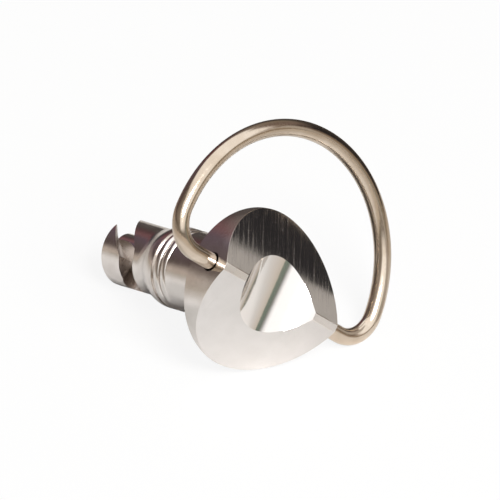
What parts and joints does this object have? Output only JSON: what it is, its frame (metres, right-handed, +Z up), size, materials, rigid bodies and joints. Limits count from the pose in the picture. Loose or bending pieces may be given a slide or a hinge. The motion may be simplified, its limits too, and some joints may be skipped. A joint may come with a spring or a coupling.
{
  "type": "quarter turn panel fastener",
  "caption": "Quarter turn stud lying at rest: gable head with a thumb scoop, grooved collar, barrel with two cam slots round a core, and a bent wire D-ring hinged in the head.",
  "frame": {"origin": "on the surface the fastener lies on, below the middle of its bounding box", "axes": "+Z up from that surface; -Y is the side the head faces and +Y the side the tip points to; the D-ring stands up and leans to +X"},
  "size_m": [0.0244, 0.0242, 0.0226],
  "materials": {
    "machined_steel": "machined and lightly polished",
    "wire_steel": "bright drawn wire"
  },
  "bodies": {
    "stud": {"stud_body": "machined_steel"},
    "ring": {"d_ring": "wire_steel"}
  },
  "joints": [
    {"name": "ring_hinge", "type": "hinge", "parent": "stud", "child": "ring", "pos_m": [-0.00313, -0.00875, 0.0079], "axis": [0.7422, -0.1628, -0.6501], "range_deg": [-66, 257]}
  ]
}
